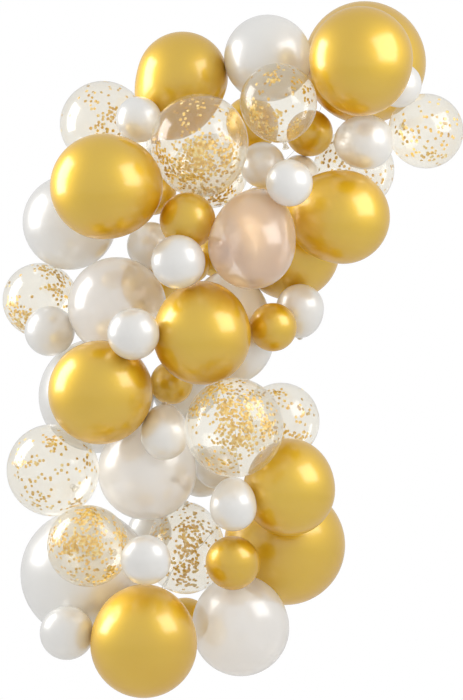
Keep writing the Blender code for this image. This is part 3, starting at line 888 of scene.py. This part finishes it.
def glue_mesh(one, other):
    """A pad of gel between two balloons, where their skins are closest."""
    way = (other.centre - one.centre).normalized()
    near_side = one.centre + way * skin_distance(one, way)
    far_side = other.centre - way * skin_distance(other, -way)
    half_gap = (far_side - near_side).length / 2
    rings = glue_rings(half_gap)
    points = [(0, 0, -half_gap)]
    for height, radius in rings:
        for step in range(GLUE_STEPS):
            angle = 2 * math.pi * step / GLUE_STEPS
            points.append((radius * math.cos(angle), radius * math.sin(angle), height))
    points.append((0, 0, half_gap))
    turn = way.to_track_quat("Z", "Y").to_matrix().to_4x4()
    place = Matrix.Translation((near_side + far_side) / 2) @ turn
    mesh = bpy.data.meshes.new(one.node + "_glue_dot")
    faces = turned_faces(len(rings), GLUE_STEPS)
    mesh.from_pydata([place @ Vector(point) for point in points], [], faces)
    mesh.shade_smooth()
    return mesh


by_node = defaultdict(list)
for balloon in balloons:
    by_node[balloon.node].append(balloon)
for node, pair in by_node.items():
    if len(pair) == 2:
        add_piece(node + "_glue_dot", glue_mesh(*pair), CLEAR_PLASTIC, "strip")
        print("glue dot on", node)

# %% [markdown]
# The photo was taken straight from the front with a long lens, so nothing in it gets smaller with depth.
# A camera without perspective matches that, and its height takes in the same stretch of garland.

# %% Camera
bpy.context.scene.view_settings.view_transform = "Standard"
PHOTO_WIDTH = 463
PHOTO_HEIGHT = 700
METRES_PER_PIXEL = 0.0025
TAB_PIXEL = (370, 30)
CAMERA_DISTANCE = 5.0
view_across = (PHOTO_WIDTH / 2 - TAB_PIXEL[0]) * METRES_PER_PIXEL
view_up = (TAB_PIXEL[1] - PHOTO_HEIGHT / 2) * METRES_PER_PIXEL

camera = bpy.data.objects.new("camera", bpy.data.cameras.new("camera"))
camera.data.type = "ORTHO"
camera.data.sensor_fit = "VERTICAL"
camera.data.ortho_scale = PHOTO_HEIGHT * METRES_PER_PIXEL
camera.location = (view_across, -CAMERA_DISTANCE, view_up)
camera.rotation_euler = (math.pi / 2, 0, 0)
bpy.context.scene.collection.objects.link(camera)
bpy.context.scene.camera = camera
print(f"the picture is {camera.data.ortho_scale:.2f} m high")

# %% [markdown]
# Shiny balloons show their lamps. A tall window of light stands on the left, a little behind the
# garland, and shows as the tall pale shape near each balloon's left edge. A wide softbox high on the right
# gives the soft glow on the other side. Each is two lamps in one place: one that only shows in the gloss
# and one that only lights the matt colours, so that each can have its own strength. The rest is a pale
# room, somewhat darker behind the garland, so that the balloons' edges keep a deeper colour.

# %% Softboxes
SOFTBOX_DISTANCE = 2.6
GARLAND_DEPTH = 0.3
POWER_PER_BRIGHTNESS = 4


def add_softbox(name, way, width, height, shine, fill):
    """A flat light that faces the garland, as bright as shine in the gloss and as fill on the matt."""
    target = Vector((view_across, -GARLAND_DEPTH, view_up))
    for use, brightness in (("shine", shine), ("fill", fill)):
        light = bpy.data.lights.new(name + "_" + use, "AREA")
        light.shape = "RECTANGLE"
        light.size = width
        light.size_y = height
        light.energy = POWER_PER_BRIGHTNESS * brightness * width * height
        box = bpy.data.objects.new(name + "_" + use, light)
        box.location = target + Vector(way).normalized() * SOFTBOX_DISTANCE
        box.rotation_euler = (target - box.location).to_track_quat("-Z", "Y").to_euler()
        box.visible_diffuse = use == "fill"
        box.visible_glossy = use == "shine"
        bpy.context.scene.collection.objects.link(box)


add_softbox("right_softbox", way=(0.75, -0.41, 0.50), width=1.9, height=1.9, shine=1.6, fill=1.4)
add_softbox("left_window", way=(-0.93, 0.12, 0.36), width=1.3, height=2.0, shine=3.6, fill=1.1)
print(len(bpy.data.lights), "lamps in two places")

# %% [markdown]
# The backdrop is plain white, and so is what the camera sees of it through the clear balloons. The room
# that lights the garland and shows in its gloss is a little darker than that.

# %% Floor
FLOOR_DROP = 0.35
FLOOR_HALF = 6.0
FLOOR_GREY = 0.86
floor_up = solid_box[0][2] - FLOOR_DROP
corners = ((-1, -1), (1, -1), (1, 1), (-1, 1))
floor_mesh = bpy.data.meshes.new("floor")
floor_mesh.from_pydata([(x * FLOOR_HALF, y * FLOOR_HALF, floor_up) for x, y in corners], [], [(0, 1, 2, 3)])
floor = bpy.data.objects.new("floor", floor_mesh)
bpy.context.scene.collection.objects.link(floor)
paint = new_finish("floor_paint")
set_plain(paint, Base_Color=(FLOOR_GREY, FLOOR_GREY, FLOOR_GREY, 1.0), Roughness=0.7)
floor_mesh.materials.append(paint.material)
floor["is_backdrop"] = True
print(f"the floor is {-floor_up:.2f} m under the top tab")

# %% [markdown]
# The room is the world's own background. It fades from the brightness in front of the garland to the one
# behind it, by the direction that a ray leaves in. Rays from the camera, and those that went straight
# through a skin, meet the white backdrop instead.

# %% Room and backdrop
ROOM_FRONT = 0.75
ROOM_BACK = 0.68
FADE_START = -1.0
FADE_END = 0.3
world = bpy.data.worlds.new("studio")
bpy.context.scene.world = world
world.use_nodes = True
sky = world.node_tree
sky.nodes.clear()
way = sky.nodes.new("ShaderNodeTexCoord")
parts = sky.nodes.new("ShaderNodeSeparateXYZ")
shade = sky.nodes.new("ShaderNodeMapRange")
shade.inputs["From Min"].default_value = FADE_START
shade.inputs["From Max"].default_value = FADE_END
shade.inputs["To Min"].default_value = ROOM_FRONT
shade.inputs["To Max"].default_value = ROOM_BACK
room = sky.nodes.new("ShaderNodeBackground")
backdrop = sky.nodes.new("ShaderNodeBackground")
path = sky.nodes.new("ShaderNodeLightPath")
seen = sky.nodes.new("ShaderNodeMath")
seen.operation = "MAXIMUM"
choice = sky.nodes.new("ShaderNodeMixShader")
output = sky.nodes.new("ShaderNodeOutputWorld")
for background in (room, backdrop):
    background.inputs["Color"].default_value = (1, 1, 1, 1)
sky.links.new(way.outputs["Generated"], parts.inputs["Vector"])
sky.links.new(parts.outputs["Y"], shade.inputs["Value"])
sky.links.new(shade.outputs["Result"], room.inputs["Strength"])
sky.links.new(path.outputs["Is Camera Ray"], seen.inputs[0])
sky.links.new(path.outputs["Is Transmission Ray"], seen.inputs[1])
sky.links.new(seen.outputs["Value"], choice.inputs["Fac"])
sky.links.new(room.outputs["Background"], choice.inputs[1])
sky.links.new(backdrop.outputs["Background"], choice.inputs[2])
sky.links.new(choice.outputs["Shader"], output.inputs["Surface"])
print("room made, with", len(sky.nodes), "nodes")

# %% [markdown]
# The dressed garland must fill the same box as its plain solids. The solids have flat facets, so a smooth
# skin stands proud of them by a few millimetres at most. Both boxes are printed.

# %% Measure the boxes
boxes = {"cad": solid_box, "visual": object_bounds()}
for name, (low, high) in boxes.items():
    print(name, "box", [f"{end - start:.3f}" for start, end in zip(low, high)])
